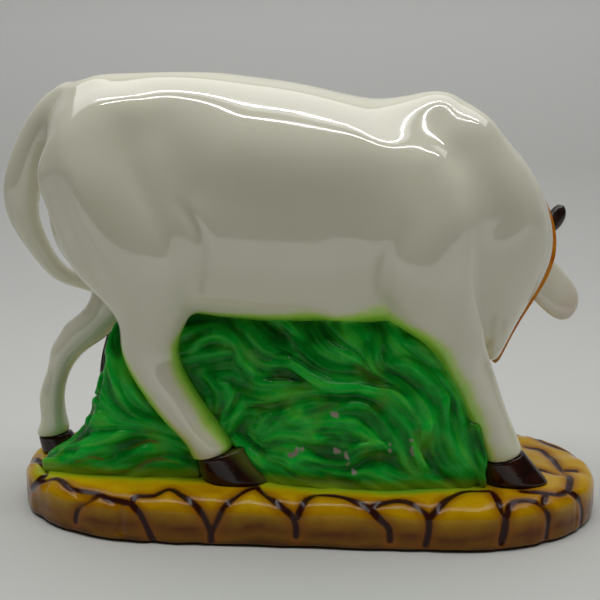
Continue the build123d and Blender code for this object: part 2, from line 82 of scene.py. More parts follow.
# Right flank: broad forms, places melted smooth, then finer folds, as pixels of the photograph with
# a width and a depth in millimetres. Fine strokes taper, and pressed ones get painted shade along
# them as creases
stroke_steps = 4
stroke_window, melt_window, blur_edge = 3, 2.2, 2.5
fine_width, fine_points = 5, 8
taper_slope, taper_end = 4, 0.2
# reach, width and share of the painted shade along the creases
crease_reach, crease_width, crease_shade_share = 9.0, 1.6, 0.3
broad_strokes = [
    ([(72, 122), (84, 114), (100, 110), (120, 108)], 9.0, -4.2),
    ([(92, 80), (80, 84), (68, 89)], 5.0, -2.0),
    ([(42, 165), (42, 180), (46, 196)], 8.0, 2.4),
    ([(52, 190), (56, 205), (64, 224), (73, 242), (84, 263), (96, 285)], 7.0, 3.0),
    ([(160, 132), (174, 160), (186, 190)], 9.0, 1.3),
    ([(250, 152), (310, 160), (370, 160), (420, 166)], 16.0, -3.0),
    ([(340, 311), (365, 315), (386, 315)], 7.0, -3.5),
    ([(402, 262), (425, 278), (448, 288)], 14.0, -1.8),
    ([(400, 222), (430, 226), (452, 232)], 18.0, -2.0),
    ([(398, 119), (424, 120), (446, 128)], 11.0, 2.3),
    ([(428, 148), (448, 154)], 11.0, 1.5),
    ([(448, 103), (460, 108), (472, 114), (480, 120)], 10.0, -4.2),
]
melt_spots = [((92, 118), 22.0, 7.0), ((412, 196), 22.0, 8.0), ((444, 140), 24.0, 7.0)]
flank_strokes = [
    ([(178, 201), (190, 217), (199, 232), (204, 250), (204, 268), (201, 292)], 1.8, 2.2),
    ([(390, 243), (380, 260), (377, 283), (385, 306)], 1.8, 2.0),
    ([(494, 318), (489, 346), (486, 366)], 1.4, 0.7),
    ([(505, 322), (499, 350), (492, 372)], 1.4, 0.6),
    ([(541, 195), (548, 213), (550, 236), (548, 260), (540, 280), (529, 303)], 2.2, 0.8),
    ([(436, 164), (446, 184), (460, 228), (467, 285), (476, 330)], 7.0, -1.8),
    ([(468, 158), (481, 177), (494, 203), (501, 222)], 9.0, 2.2),
    ([(383, 102), (391, 126)], 9.0, 0.8),
]

# The head in its own frame: poll, direction of the muzzle, and places along, beside and above it
head_poll = np.array((91.0, 8.9, 116.6))
head_heading = math.radians(96.0)
head_pitch = math.radians(28.0)
eye_along, eye_side, eye_up = 20.0, 11.6, 5.0
eye_run, eye_drop = 4, 1
nostril_along, nostril_side, nostril_up = 56.0, 4.4, 0.5
mouth_along, mouth_side, mouth_up = 44.0, 8.0, -5.5
lip_run, lip_drop = 3, 1

# Width and depth of the strokes on the face. Paint is full up to a fade's first distance, gone at
# its second, and thinned to a share
eye_stroke, nostril_stroke, mouth_stroke = (3.4, -1.2), (1.8, 1.4), (1.2, 0.9)
eye_fade = (2.4, 3.1)
nostril_fade, nostril_share = (1.2, 2.0), 0.8
muzzle_fade, muzzle_share = (4.0, 13.0), 0.6
ear_fade, ear_share = (5.0, 22.0), 0.3
skin_spray_fade = (0.0, 11.0)
leg_spray_fade, leg_spray_share = (30.0, 72.0), 0.16

# Grass: ridges of the strands on the side seen, in pixels of the photograph
grass_guides = [
    [(293, 332), (305, 351), (317, 363), (334, 368), (354, 367)],
    [(294, 358), (307, 375), (323, 386), (341, 387), (357, 382)],
    [(314, 327), (321, 339), (330, 350), (344, 358), (354, 359)],
    [(342, 329), (348, 340), (353, 345)],
    [(368, 334), (376, 332), (378, 342), (376, 356), (381, 367)],
    [(369, 354), (370, 364), (376, 371)], [(394, 337), (398, 348), (404, 352)],
    [(401, 364), (410, 362), (421, 371), (429, 382)],
    [(410, 344), (427, 354), (440, 367), (449, 384)],
    [(365, 392), (381, 391), (396, 396), (405, 407), (408, 415)],
    [(384, 380), (397, 383), (408, 391), (412, 399)],
    [(310, 411), (321, 407), (335, 404), (346, 402)],
    [(348, 404), (360, 403), (370, 410), (378, 420), (384, 434)],
    [(349, 423), (362, 416), (372, 423), (376, 431)], [(386, 419), (392, 416), (397, 422)],
    [(424, 450), (426, 437), (436, 426), (431, 422), (417, 424)],
    [(443, 394), (451, 396), (444, 410), (444, 434), (451, 454), (464, 467)],
    [(456, 394), (468, 411), (476, 431), (480, 450)], [(456, 420), (457, 441), (464, 458)],
    [(354, 461), (365, 451), (381, 447), (392, 451)], [(381, 474), (392, 481), (405, 485)],
    [(410, 445), (417, 461), (428, 473), (441, 478)], [(292, 398), (306, 395), (322, 396)],
    [(290, 420), (302, 416), (310, 427)], [(196, 348), (206, 338), (217, 335), (225, 341)],
    [(197, 352), (212, 356), (225, 352)], [(203, 367), (210, 359), (220, 357)],
    [(201, 373), (213, 387), (220, 398), (215, 409)], [(222, 379), (233, 373), (239, 379)],
    [(247, 336), (254, 346), (264, 357)], [(269, 364), (282, 360), (293, 362)],
    [(248, 367), (260, 377), (268, 370)], [(251, 390), (265, 398), (283, 395)],
    [(220, 429), (231, 421), (241, 407)], [(243, 421), (248, 412), (255, 416), (254, 429)],
    [(260, 421), (272, 411), (276, 421)], [(279, 419), (290, 412), (299, 409)],
    [(114, 335), (112, 356), (114, 379), (118, 398), (128, 412), (147, 422), (178, 435)],
    [(123, 366), (126, 379), (133, 393), (147, 407), (164, 416), (181, 430)],
    [(121, 362), (123, 376), (128, 390)],
    [(116, 437), (128, 430), (147, 428), (170, 435), (187, 443)],
    [(122, 453), (136, 449), (149, 442), (167, 442), (184, 446)],
    [(129, 467), (144, 459), (159, 454), (178, 457)], [(91, 416), (105, 415), (111, 421)],
    [(93, 435), (102, 426), (108, 432)], [(83, 443), (94, 440), (107, 435)],
    [(101, 459), (112, 451), (122, 457)], [(70, 458), (84, 455), (97, 462)],
    [(58, 466), (75, 466), (92, 471)], [(232, 336), (240, 348), (238, 362)],
    [(262, 336), (274, 345), (288, 348)], [(270, 438), (284, 432), (300, 438)],
    [(268, 456), (282, 450), (292, 462)], [(300, 462), (318, 470), (336, 472)],
    [(318, 438), (332, 432), (344, 440)], [(242, 442), (252, 450), (262, 462)],
    [(400, 430), (404, 446), (400, 462)], [(426, 392), (436, 402), (440, 416)],
]
guide_steps, guide_points, far_side = 5, 5, 20.0

# Grid and random seed of the grass, its comb, the relief of strands, fibres and ridges, its lap
# over the skin, and its root below the deck
grass_cell, grass_reach = 0.55, 4.4
grass_margin_low, grass_margin_high = 4.0, 3.0
grass_softening = 4
grass_seed = 7
comb_cell, comb_margin, comb_reach, comb_block = 3.0, 6, 6.5, 4000
comb_step, comb_steps = 1.5, 9
lattice_margin = 8
strand_cell, strand_relief, strand_level = 3.7, 0.95, 0.3
fibre_cell, fibre_relief = 1.3, 0.14
ridge_reach, ridge_width, ridge_relief = 8.0, 2.6, 0.3
grass_overlap = 2.6
lap_inside, lap_past, lap_clear = 1.0, 0.6, 0.5
grass_root, root_layer = 3.0, 2.0
foot_fade, foot_calm, foot_share = (0.0, 6.0), 0.6, 0.9

# Spurs that stand up at the grass's edge: a pixel at the foot, the path, and a radius
spur_behind, spur_window, spur_taper, spur_fillet = 2.0, 9.0, 0.3, 3.0
grass_spurs = [
    ((115, 352), [(115, 350), (117, 338), (121, 326)], 3.6),
    ((468, 446), [(474, 428), (479, 444), (483, 460), (486, 474), (488, 486)], 4.0),
]

# Paint on the grass: how strands, fibres and ridges light it, rusty lines, and chips
light_level, light_strand, light_fibre, light_ridge = 0.44, 0.26, 0.09, 0.20
olive_skin_fade, olive_share, olive_fibre, olive_level = (0.0, 3.0), 0.3, 0.35, 0.4
paint_steps, chip_steps = 4, 3
rust_reach, rust_fade, rust_share = 4.0, (0.2, 1.1), 0.7
chip_reach, chip_fade, chip_cell, chip_fray = 6.0, (0.7, 1.2), 1.6, 0.9
rust_lines = [
    [(120, 451), (134, 446), (147, 441), (158, 442)],
    [(136, 468), (149, 461), (163, 459), (178, 463)],
    [(99, 470), (112, 473), (128, 471)],
    [(76, 462), (90, 457), (102, 459)],
]
grass_chips = [
    [(292, 453), (301, 450)], [(335, 450), (344, 455), (350, 466), (353, 472)],
    [(391, 447), (391, 453)], [(410, 445), (412, 455)], [(333, 414), (336, 414)],
]

# Flagstones: joints on the plinth's near side, in pixels of the photograph
joint_lines = [
    [(29, 491), (43, 480), (56, 477), (63, 481), (71, 488), (89, 491), (97, 493), (109, 499),
     (130, 503)],
    [(97, 495), (84, 503), (76, 511), (74, 522), (74, 535)],
    [(130, 503), (139, 514), (146, 528), (153, 542)],
    [(130, 503), (137, 495), (154, 494), (164, 489), (172, 488), (183, 495), (195, 505), (204, 519),
     (211, 534)],
    [(211, 541), (211, 534), (217, 522), (224, 507), (236, 495), (248, 488), (257, 486)],
    [(257, 486), (269, 496), (282, 507), (292, 517), (296, 528), (296, 537)],
    [(297, 519), (301, 508), (306, 499), (316, 493), (328, 494), (343, 496), (358, 502), (370, 509),
     (381, 521), (389, 530), (390, 541)],
    [(370, 508), (380, 503), (394, 500), (408, 501), (419, 507), (428, 517), (429, 532),
     (426, 546)],
    [(430, 518), (440, 506), (450, 496), (464, 490), (481, 489), (491, 489), (496, 496), (501, 507),
     (506, 517), (505, 529), (502, 543)],
    [(507, 518), (510, 506), (517, 500), (529, 499), (540, 503), (547, 511), (550, 521),
     (548, 539)],
    [(522, 490), (546, 492), (560, 493), (569, 490)],
    [(546, 493), (544, 504)],
    [(569, 490), (582, 503), (583, 515), (582, 525)],
    [(569, 490), (570, 476), (561, 468), (550, 456), (541, 449), (526, 445)],
    [(561, 468), (576, 469), (597, 482)],
    [(558, 472), (536, 468)],
    [(28, 494), (44, 475), (45, 465), (31, 458)],
]
deck_green = [(340, 480), (370, 486), (400, 488), (432, 486)]
joint_steps = 3

# Grid of the plinth, the closing that fills the CAD's own joints, new joints with a slope beside
# them, uneven stones, and where paint fades
plinth_cell, plinth_reach, plinth_margin = 0.6, 3.6, 3.0
plinth_closing = 1.4
joint_width, joint_depth = 1.15, 0.8
slope_width, slope_depth = 4.2, 0.4
joint_reach = 9.0
stone_seed, stone_cell, stone_relief, stone_sink = 3, 7.0, 0.26, 0.3
joint_fade = (1.3, 1.9)
edge_fade, edge_share = (1.2, 6.0), 0.75
turf_cell, turf_reach, turf_margin = 1.2, 13.0, 2
turf_fade = (-1.0, 13.0)
green_reach, green_fade, green_share = 11.0, (1.0, 9.0), 0.75
# height of the painted shadow line along the plinth's foot
foot_shadow_fade = (0.6, 1.6)

# Hooves and tuft: grids, the reach of the near toes, green dust, and waves of hair as turns round
# the tuft, twist down it, and height
small_cell, small_margin = 0.4, 2.0
hoof_reach, hoof_softening = 6.0, 3
toe_reach = 4.0
dust_cell, dust_reach, dust_fade, dust_share = 0.8, 12.0, (1.5, 7.0), 0.85
tuft_reach, tuft_softening = 4.0, 2
tuft_lean = 4.0
hair_waves = [(13, 5, 1.0), (29, -7, 0.6)]
hair_relief, hair_start = 0.22, 4

# Studio, in metres and watts: floor and backdrop in one sweep, the air, and lights with place, aim,
# size and power
sweep_width, sweep_front, sweep_back, sweep_height, sweep_radius = 1.6, -0.4, 0.62, 1.4, 0.40
sweep_steps = 16
# height over which the backdrop's painted shading runs
tone_height = 0.5
white_floor_end, grey_floor_start = -0.22, -0.12
air_colour, air_strength = (1.0, 0.94, 0.68, 1.0), 0.05
panels = {
    "overhead": ((0.0, 0.10, 1.25), (0.0, 0.10, 0.0), (2.4, 0.85), 12.0),
    "strip_back": ((0.0, -0.17, 0.90), (0.0, 0.0, 0.1), (1.1, 0.012), 1.4),
    "strip_front": ((0.0, -0.33, 0.90), (0.0, 0.0, 0.1), (1.1, 0.012), 1.4),
}

# Materials: roughness of the noise textures, and the span in which nearly all their values lie
noise_roughness = 0.55
noise_low, noise_high = 0.3, 0.7


def add_camera():
    """The camera at the photograph's viewpoint."""
    data = bpy.data.cameras.new("photo_camera")
    data.lens = camera_lens_mm
    data.sensor_width = camera_sensor_mm
    camera = bpy.data.objects.new("photo_camera", data)
    camera.location = camera_place
    camera.rotation_euler = camera_aim.to_track_quat("-Z", "Y").to_euler()
    bpy.context.collection.objects.link(camera)
    bpy.context.scene.camera = camera


def pixel_ray(column, row):
    """The direction from the camera through a pixel of the photograph."""
    sideways = camera_right * (column - middle_pixel) - camera_up * (row - middle_pixel)
    return (camera_ahead * focal_pixels + sideways).normalized()


def pixels_of(points):
    """The columns and rows at which points in millimetres are seen."""
    away = points / mm_per_metre - np.array(camera_place)
    ahead, right, up = np.array([camera_ahead, camera_right, camera_up]) @ away.T
    reach = focal_pixels / ahead
    return middle_pixel + reach * right, middle_pixel - reach * up


# Meshes and distance grids

def node_mesh(*names):
    """The points in millimetres and the triangles of CAD nodes, as one mesh."""
    points, triangles, count = [], [], 0
    for name in names:
        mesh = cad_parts[name].data
        mesh.calc_loop_triangles()
        corners = np.empty(len(mesh.vertices) * 3, np.float32)
        mesh.vertices.foreach_get("co", corners)
        faces = np.empty(len(mesh.loop_triangles) * 3, np.int32)
        mesh.loop_triangles.foreach_get("vertices", faces)
        world = np.array(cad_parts[name].matrix_world, np.float32)
        corners = corners.reshape(-1, 3) @ world[:3, :3].T + world[:3, 3]
        points.append(corners * mm_per_metre)
        triangles.append(faces.reshape(-1, 3).astype(np.uint32) + np.uint32(count))
        count += len(corners)
    return np.concatenate(points), np.concatenate(triangles)


def node_tree(*names):
    """A search tree over the surfaces of CAD nodes, in millimetres."""
    points, triangles = node_mesh(*names)
    return BVHTree.FromPolygons(points.tolist(), triangles.tolist())


def on_surface(tree, pixels):
    """The points of a surface, in millimetres, that pixels show."""
    hits = []
    for pixel in pixels:
        hit = tree.ray_cast(camera_place * mm_per_metre, pixel_ray(*pixel))[0]
        if hit is not None:
            hits.append(tuple(hit))
    return np.array(hits).reshape(-1, 3)


def traced(tree, pixels, steps):
    """A smooth curve on a surface through pixels, with so many steps between each two."""
    points = on_surface(tree, pixels)
    if len(points) < 2:
        return points
    ends = np.concatenate([[2 * points[0] - points[1]], points, [2 * points[-1] - points[-2]]])
    curve = []
    for index in range(1, len(ends) - 2):
        before, start, end, after = ends[index - 1:index + 3]
        for step in range(steps):
            t = step / steps
            curve.append(0.5 * (
                2 * start + (end - before) * t
                + (2 * before - 5 * start + 4 * end - after) * t ** 2
                + (3 * start - before - 3 * end + after) * t ** 3
            ))
    curve.append(ends[-2])
    return np.array(curve)


def eased(share):
    """A share from 0 to 1 that sets off and arrives slowly."""
    return share * share * (3 - 2 * share)


def between_cells(values, base, part):
    """Values of a lattice, read at parts of a cell past the base cells."""
    total = np.zeros(len(base), np.float32)
    for corner in range(8):
        bits = np.array([corner & 1, corner >> 1 & 1, corner >> 2 & 1])
        weight = np.prod(np.where(bits, part, 1 - part), axis=1)
        index = base + bits
        total += weight * values[index[:, 0], index[:, 1], index[:, 2]]
    return total


class Grid:
    """A box of space cut into cells, on which shapes are distance fields: negative inside."""

    def __init__(self, low, high, cell, reach):
        self.cell = cell
        self.reach = reach
        self.start = np.floor(np.asarray(low) / cell).astype(int)
        self.origin = tuple(int(index) for index in self.start)
        self.shape = tuple(np.ceil(np.asarray(high) / cell).astype(int) - self.start + 1)
        self.whole = tuple(slice(0, size) for size in self.shape)
        self.transform = openvdb.createLinearTransform(cell)

    def field(self, *names):
        """The distance field of CAD nodes, up to the grid's reach."""
        points, triangles = node_mesh(*names)
        return self.mesh_field(points, triangles=triangles)

    def mesh_field(self, points, **faces):
        """The distance field of a closed mesh of triangles or quads."""
        level = openvdb.FloatGrid.createLevelSetFromPolygons(
            points, transform=self.transform, halfWidth=self.reach / self.cell, **faces
        )
        values = np.empty(self.shape, np.float32)
        level.copyToArray(values, ijk=self.origin)
        return values

    def polygons(self, values, distance):
        """The points and quads of the surface at a distance outside a field's shape."""
        level = openvdb.FloatGrid(self.reach)
        level.transform = self.transform
        level.copyFromArray(np.ascontiguousarray(values), ijk=self.origin)
        points, triangles, quads = level.convertToPolygons(distance, 0.0)
        return points, quads

    def closed(self, values, radius):
        """A field with its grooves filled where they are narrower than twice the radius."""
        points, quads = self.polygons(values, radius)
        return self.mesh_field(points, quads=quads) + radius

    def axes(self, window):
        """The three coordinates of the cells in a window, ready to broadcast."""
        lines = []
        for start, size, part in zip(self.start, self.shape, window):
            line = (start + np.arange(size)[part]) * self.cell
            lines.append(line.astype(np.float32))
        return np.ix_(*lines)

    def window(self, low, high):
        """The slices of the grid between two corners."""
        first = np.floor(np.asarray(low) / self.cell).astype(int) - self.start
        last = np.ceil(np.asarray(high) / self.cell).astype(int) - self.start + 1
        ends = zip(np.clip(first, 0, self.shape), np.clip(last, 0, self.shape))
        return tuple(slice(a, b) for a, b in ends)

    def around(self, path, margin):
        """The slices of the grid within a margin of a path."""
        return self.window(path.min(axis=0) - margin, path.max(axis=0) + margin)

    def sample(self, values, points):
        """Values at points in millimetres, read between cells."""
        place = points / self.cell - self.start
        base = np.clip(np.floor(place).astype(int), 0, np.asarray(self.shape) - 2)
        return between_cells(values, base, np.clip(place - base, 0, 1).astype(np.float32))

    def surface(self, values, passes=0):
        """The points, quads and softened outward normals of a field's surface."""
        points, quads = self.polygons(values, 0.0)
        quads = quads.astype(np.int32)
        slopes = np.gradient(softened(values, passes))
        normals = np.stack([self.sample(slope, points) for slope in slopes], axis=1)
        normals /= np.linalg.norm(normals, axis=1, keepdims=True) + 1e-9
        corners = points[quads]
        facing = np.cross(corners[:, 2] - corners[:, 0], corners[:, 3] - corners[:, 1])
        if np.sum(facing * normals[quads[:, 0]]) < 0:
            quads = quads[:, ::-1]
        return points, quads, normals


def smooth_union(first, second, radius):
    """Two fields joined with a fillet of about that radius."""
    share = np.clip(0.5 + 0.5 * (second - first) / radius, 0, 1)
    return second + (first - second) * share - radius * share * (1 - share)


def softened(values, passes):
    """A field with its facets and sharp creases smoothed."""
    for _ in range(passes):
        for axis in range(3):
            values = 0.5 * values + 0.25 * (np.roll(values, -1, axis) + np.roll(values, 1, axis))
    return values


def blurred(values, spread):
    """A field blurred to a spread in cells, carried on straight past its edges."""
    edge = math.ceil(blur_edge * spread)
    values = np.pad(values, edge, mode="reflect", reflect_type="odd")
    for axis in range(3):
        size = values.shape[axis]
        shape = [1, 1, 1]
        shape[axis] = -1
        fall = np.exp(-2 * (math.pi * spread * np.fft.rfftfreq(size)) ** 2).reshape(shape)
        values = np.fft.irfft(np.fft.rfft(values, axis=axis) * fall, size, axis=axis)
    return values[edge:-edge, edge:-edge, edge:-edge].astype(np.float32)


def melt(grid, values, centre, radius, spread):
    """Melts the bumps of a field away around a place."""
    window = grid.window(centre - melt_window * radius, centre + melt_window * radius)
    away = sum((line - place) ** 2 for line, place in zip(grid.axes(window), centre))
    share = np.exp(-away / radius ** 2)
    values[window] += share * (blurred(values[window], spread / grid.cell) - values[window])


def path_gap(places, path):
    """The distance from places, as three arrays, to a path, and how far along it they are."""
    nearest, along = np.inf, 0.0
    runs = np.linalg.norm(np.diff(path, axis=0), axis=1)
    reached = np.concatenate([[0], np.cumsum(runs)]) / max(runs.sum(), 1e-6)
    for index, (start, end) in enumerate(zip(path[:-1], path[1:])):
        run = end - start
        share = sum((places[axis] - start[axis]) * run[axis] for axis in range(3))
        share = np.clip(share / max(float(run @ run), 1e-6), 0, 1)
        gap = sum((places[axis] - start[axis] - share * run[axis]) ** 2 for axis in range(3))
        reach = reached[index] + share * (reached[index + 1] - reached[index])
        along = np.where(gap < nearest, reach, along)
        nearest = np.minimum(nearest, gap)
    return np.sqrt(nearest), along


def press(grid, values, path, width, depth):
    """Presses a soft groove into a field along a path, or raises a ridge by a negative depth."""
    path = np.asarray(path, np.float32)
    window = grid.around(path, stroke_window * width)
    gap, along = path_gap(grid.axes(window), path)
    taper = np.clip(taper_slope * np.minimum(along, 1 - along) + taper_end, 0, 1)
    fade = taper if width < fine_width and len(path) > fine_points else 1.0
    values[window] += depth * fade * np.exp(-((gap / width) ** 2))


def gap_to_paths(points, paths, reach):
    """The distance from points to the nearest of several paths, up to a reach."""
    nearest = np.full(len(points), reach)
    for path in paths:
        low, high = path.min(axis=0) - reach, path.max(axis=0) + reach
        near = np.all((points > low) & (points < high), axis=1)
        if near.any():
            nearest[near] = np.minimum(nearest[near], path_gap(points[near].T, path)[0])
    return nearest


def node_corners(*names):
    """The lowest and highest corners of several CAD nodes, in millimetres."""
    boxes = [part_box(name) for name in names]
    low = np.min([box[0] for box in boxes], axis=0) * mm_per_metre
    high = np.max([box[1] for box in boxes], axis=0) * mm_per_metre
    return low, high


def add_mesh(name, points, quads, normals=None, **attributes):
    """A smooth mesh object from points in millimetres, with named values at its points."""
    mesh = bpy.data.meshes.new(name)
    mesh.vertices.add(len(points))
    mesh.vertices.foreach_set("co", (np.asarray(points, np.float32) / mm_per_metre).ravel())
    mesh.loops.add(quads.size)
    mesh.loops.foreach_set("vertex_index", np.ascontiguousarray(quads, np.int32).ravel())
    mesh.polygons.add(len(quads))
    starts = np.arange(0, quads.size, quads.shape[1], dtype=np.int32)
    mesh.polygons.foreach_set("loop_start", starts)
    mesh.update(calc_edges=True)
    mesh.polygons.foreach_set("use_smooth", np.ones(len(quads), bool))
    if normals is not None:
        mesh.normals_split_custom_set_from_vertices(normals.astype(np.float32))
    for label, values in attributes.items():
        attribute = mesh.attributes.new(label, "FLOAT", "POINT")
        attribute.data.foreach_set("value", values.astype(np.float32))
    piece = bpy.data.objects.new(name, mesh)
    bpy.context.collection.objects.link(piece)
    return piece


def dress(piece, material, slot, *nodes):
    """Gives a piece its paint and its place on the body, in place of CAD nodes."""
    piece.data.materials.append(material)
    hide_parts(*nodes)
    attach(piece, "root")


def faded(gap, near, far):
    """1 up to the near distance, falling smoothly to 0 at the far one."""
    return eased(np.clip((far - gap) / (far - near), 0, 1))


# Materials

def linear(colour):
    """A scene colour from eight-bit display values."""
    shares = [value / 255 for value in colour]
    return (*Color(shares).from_srgb_to_scene_linear(), 1.0)


class Shader:
    """A node material in the making. Its colours are tuples of eight-bit display values."""

    def __init__(self, name, roughness, gloss=0.5):
        self.material = bpy.data.materials.new(name)
        self.material.use_nodes = True
        self.tree = self.material.node_tree
        self.surface = self.tree.nodes["Principled BSDF"]
        self.fill(self.surface, {"Roughness": roughness, "Specular IOR Level": gloss})
        self.place = self.node("TexCoord", {}).outputs["Object"]

    def fill(self, node, inputs):
        """Sets a node's inputs: numbers, colours, outputs of nodes or names of attributes."""
        for key, value in inputs.items():
            if isinstance(value, str):
                value = self.attribute(value)
            if isinstance(value, bpy.types.NodeSocket):
                self.tree.links.new(value, node.inputs[key])
            else:
                colour = isinstance(value, tuple)
                node.inputs[key].default_value = linear(value) if colour else value

    def node(self, kind, inputs):
        node = self.tree.nodes.new("ShaderNode" + kind)
        self.fill(node, inputs)
        return node

    def attribute(self, name):
        node = self.node("Attribute", {})
        node.attribute_name = name
        return node.outputs["Fac"]

    def axis(self, name):
        return self.node("SeparateXYZ", {"Vector": self.place}).outputs[name]

    def noise(self, scale, detail=4.0):
        inputs = {"Scale": scale, "Detail": detail, "Roughness": noise_roughness}
        return self.node("TexNoise", {"Vector": self.place, **inputs}).outputs["Fac"]

    def span(self, value, low, high, to_low=0.0, to_high=1.0):
        """A value carried over from one span to another, and held at the ends."""
        ends = {"From Min": low, "From Max": high, "To Min": to_low, "To Max": to_high}
        return self.node("MapRange", {"Value": value, **ends}).outputs["Result"]

    def speckle(self, scale, low=0.0, high=1.0, detail=4.0):
        """A noise texture spread between two levels."""
        return self.span(self.noise(scale, detail), noise_low, noise_high, low, high)

    def add(self, first, second):
        return self.node("Math", {0: first, 1: second}).outputs["Value"]

    def ramp(self, value, stops):
        """Colours along a value, each stop as a position and its colour."""
        node = self.node("ValToRGB", {"Fac": value})
        elements = node.color_ramp.elements
        while len(elements) < len(stops):
            elements.new(0.5)
        for element, (position, colour) in zip(elements, stops):
            element.position = position
            element.color = linear(colour)
        return node.outputs["Color"]

    def mix(self, share, first, second):
        """Two colours mixed."""
        node = self.node("Mix", {})
        node.data_type = "RGBA"
        first_key, second_key = (key for key, s in enumerate(node.inputs) if s.type == "RGBA")
        self.fill(node, {"Factor": share, first_key: first, second_key: second})
        return next(s for s in node.outputs if s.type == "RGBA")

    def finished(self, colour, roughness, height, strength, distance):
        """The material, with its colour, roughness and bump linked."""
        bump = self.node("Bump", {"Height": height, "Strength": strength, "Distance": distance})
        paint = {"Base Color": colour, "Roughness": roughness, "Normal": bump.outputs["Normal"]}
        self.fill(self.surface, paint)
        return self.material


def white_gloss():
    """White lacquer: faint mottling, warm painted shade in the creases, and overspray beside the
    grass.
    """
    shader = Shader("white_gloss", roughness=0.07, gloss=1.0)
    white = shader.mix(shader.noise(22.0), (234, 232, 216), (226, 223, 202))
    # painted shade: the creases darkened to a warm grey
    white = shader.mix("crease_shade", white, (190, 184, 152))
    ragged = shader.add("halo", shader.speckle(90.0, -0.10, 0.10))
    spray = shader.ramp(ragged, [
        (0.0, (230, 230, 210)), (0.35, (208, 228, 140)), (0.72, (172, 224, 84)),
        (1.0, (122, 190, 50)),
    ])
    white = shader.mix(shader.span(ragged, 0.0, 0.48), white, spray)
    white = shader.mix("blush", white, (206, 160, 142))
    white = shader.mix("dark", white, (26, 18, 16))
    satin = shader.speckle(60.0, 0.05, 0.10)
    return shader.finished(white, satin, shader.noise(45.0, 1.0), strength=0.05, distance=0.0006)


def brushed_gloss(name, dark, light, roughness, halo=False):
    """A glossy paint with brushed variation between two tones."""
    shader = Shader(name, roughness, gloss=0.4)
    tone = shader.mix(shader.speckle(140.0), dark, light)
    if halo:
        tone = shader.mix("halo", tone, (92, 98, 40))
    satin = shader.speckle(300.0, 0.7 * roughness, 1.4 * roughness)
    return shader.finished(tone, satin, shader.noise(500.0, 3.0), strength=0.12, distance=0.0004)


def grass_gloss():
    """Green lacquer: painted shade in the hollows, painted highlights on the ridges, olive strands
    and pale chips.
    """
    shader = Shader("grass_green", roughness=0.22, gloss=0.18)
    # painted light and shade: the green lighter on strands and ridges, darker in the hollows
    level = shader.add("ridge", shader.speckle(55.0, -0.14, 0.14))
    green = shader.ramp(level, [
        (0.0, (0, 62, 12)), (0.25, (0, 108, 26)), (0.55, (6, 158, 44)), (0.8, (22, 184, 58)),
        (1.0, (56, 204, 70)),
    ])
    olive = shader.ramp(level, [(0.0, (20, 76, 8)), (0.5, (70, 156, 26)), (1.0, (140, 188, 40))])
    green = shader.mix("tone", green, olive)
    green = shader.mix("rust", green, (128, 92, 34))
    foot = shader.add("foot", shader.speckle(70.0, -0.3, 0.2))
    green = shader.mix(shader.span(foot, 0.0, 0.9), green, (140, 172, 30))
    green = shader.mix("chip", green, (158, 150, 136))
    satin = shader.speckle(180.0, 0.14, 0.30)
    return shader.finished(green, satin, shader.noise(420.0, 4.0), strength=0.12, distance=0.0005)


def stone_gloss():
    """Ochre flagstones: brown to joints and foot, a painted shadow line along the very foot, with
    overspray beside the grass.
    """
    shader = Shader("flagstone_ochre", roughness=0.16, gloss=0.24)
    deck = shader.mix(shader.speckle(34.0), (208, 166, 6), (188, 140, 4))
    streak = shader.span(shader.noise(26.0, 6.0), 0.28, 0.72, -0.22, 0.22)
    rise = shader.add(shader.span(shader.axis("Z"), 0.0, 0.02), streak)
    side = shader.ramp(rise, [
        (0.0, (98, 56, 4)), (0.16, (136, 90, 4)), (0.40, (108, 56, 4)), (0.66, (128, 70, 2)),
        (0.92, (196, 142, 0)),
    ])
    shoulder = shader.add(shader.axis("Z"), shader.speckle(40.0, -0.003, 0.003, detail=6.0))
    tone = shader.mix(shader.span(shoulder, 0.007, 0.0180), side, deck)
    tone = shader.mix("edge", tone, (146, 84, 4))
    spray = shader.ramp("halo", [
        (0.0, (206, 178, 8)), (0.5, (198, 180, 10)), (0.8, (178, 178, 18)), (1.0, (140, 172, 30)),
    ])
    spread = shader.add("halo", shader.speckle(60.0, -0.16, 0.10))
    tone = shader.mix(shader.span(spread, 0.25, 0.8), tone, spray)
    tone = shader.mix("green", tone, (60, 156, 40))
    tone = shader.mix("joint", tone, (50, 18, 14))
    # painted shadow: a dark line along the plinth's very foot
    tone = shader.mix("foot", tone, (34, 20, 12))
    satin = shader.speckle(120.0, 0.10, 0.24)
    return shader.finished(tone, satin, shader.noise(190.0, 5.0), strength=0.22, distance=0.0008)


# Pieces

def head_point(along, side, up):
    """A point of the head, from places along, to the left and above its axis."""
    ahead = np.array((math.cos(head_heading), math.sin(head_heading), 0.0))
    forward = math.cos(head_pitch) * ahead - (0, 0, math.sin(head_pitch))
    left = np.cross((0, 0, 1), ahead)
    return head_poll + along * forward + side * left + up * np.cross(forward, left)


def skin_form(grid):
    """The field of the white castings, run together, the tail let down a little."""
    core = grid.field(skin_core[0])
    for name in skin_core[1:]:
        core = np.minimum(core, grid.field(name))
    corners, triangles = node_mesh("tail")
    columns, rows = pixels_of(corners)
    away = (columns - tail_sag_pixel[0]) ** 2 + (rows - tail_sag_pixel[1]) ** 2
    corners = corners + np.exp(-away / tail_sag_reach ** 2)[:, None] * np.array(tail_sag)
    tail = grid.mesh_field(corners.astype(np.float32), triangles=triangles)
    values = smooth_union(grid.closed(core, core_fillet), tail, tail_fillet)
    below = faded(grid.axes(grid.whole)[2], *tail_root)
    values = below * values + (1 - below) * grid.closed(np.minimum(core, tail), tail_root_fillet)
    for name in skin_ears:
        values = smooth_union(values, grid.field(name) - ear_fullness, ear_fillet)
    return softened(values, form_softening)


